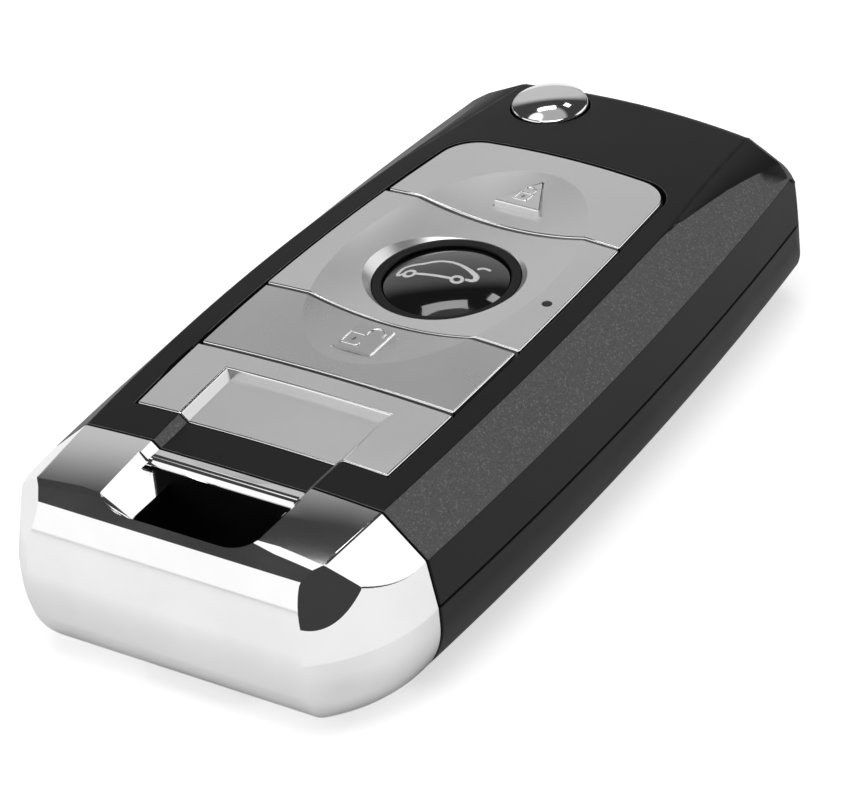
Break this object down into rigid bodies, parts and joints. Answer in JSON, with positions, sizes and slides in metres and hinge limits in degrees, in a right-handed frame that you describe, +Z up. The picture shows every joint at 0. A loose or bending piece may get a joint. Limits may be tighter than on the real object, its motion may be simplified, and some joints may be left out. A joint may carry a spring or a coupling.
{
  "type": "flip remote key shell",
  "caption": "Flip remote key shell with a chrome keyring cap, a silver button panel, a round release button and an uncut key blade that swings out of the side.",
  "frame": {"origin": "middle of the base plane, under the centre of the bounding box", "axes": "+Z up through the button panel, +Y to the end with the release button, +X to the side away from the blade"},
  "size_m": [0.0386, 0.0762, 0.0174],
  "materials": {
    "shell_black": "satin black moulded plastic, fine spark-eroded grain on the bevels",
    "panel_silver": "satin silver metallic paint on plastic",
    "gloss_black": "polished black",
    "chrome": "bright chrome plating",
    "blade_steel": "nickel-plated steel, fine brushed",
    "pad_rubber": "matt silicone rubber",
    "board_green": "solder-masked glass-fibre board",
    "part_black": "moulded package",
    "bright_metal": "bright plated sheet",
    "spring_steel": "drawn wire",
    "clear": "clear polished",
    "led_white": "translucent lens"
  },
  "bodies": {
    "body": {"top_shell": "shell_black", "bottom_shell": "shell_black", "end_cap": "chrome", "lower_plate": "panel_silver", "middle_plate": "panel_silver", "trunk_ring": "gloss_black", "light_pipe": "clear", "button_pad": "pad_rubber", "circuit_board": "board_green", "lock_switch": "part_black", "unlock_switch": "part_black", "trunk_switch": "part_black", "indicator_led": "led_white", "control_chip": "part_black", "crystal": "bright_metal", "coin_cell": "bright_metal", "positive_contact": "bright_metal", "negative_contact": "bright_metal", "transponder_chip": "part_black", "shell_screws": "spring_steel"},
    "lock_button": {"lock_button": "panel_silver"},
    "unlock_button": {"unlock_button": "panel_silver"},
    "trunk_button": {"trunk_button": "gloss_black"},
    "blade": {"blade_head": "blade_steel", "key_blade": "blade_steel", "roll_pin": "spring_steel", "flip_spring": "spring_steel"},
    "release_button": {"release_button": "chrome"}
  },
  "joints": [
    {"name": "lock_press", "type": "slide", "parent": "body", "child": "lock_button", "axis": [0, 0, -1], "range_m": [0, 0.0004], "stiffness_N_per_m": 400, "springref_m": -0.0004},
    {"name": "unlock_press", "type": "slide", "parent": "body", "child": "unlock_button", "axis": [0, 0, -1], "range_m": [0, 0.0004], "stiffness_N_per_m": 400, "springref_m": -0.0004},
    {"name": "trunk_press", "type": "slide", "parent": "body", "child": "trunk_button", "axis": [0, 0, -1], "range_m": [0, 0.0004], "stiffness_N_per_m": 400, "springref_m": -0.0004},
    {"name": "blade_flip", "type": "hinge", "parent": "body", "child": "blade", "pos_m": [-0.0069, 0.0333, 0.0072], "axis": [0, 0, -1], "range_deg": [0, 180]},
    {"name": "release_press", "type": "slide", "parent": "blade", "child": "release_button", "axis": [0, 0, -1], "range_m": [0, 0.0015], "stiffness_N_per_m": 500, "springref_m": -0.0012, "deforming": ["flip_spring"]}
  ]
}
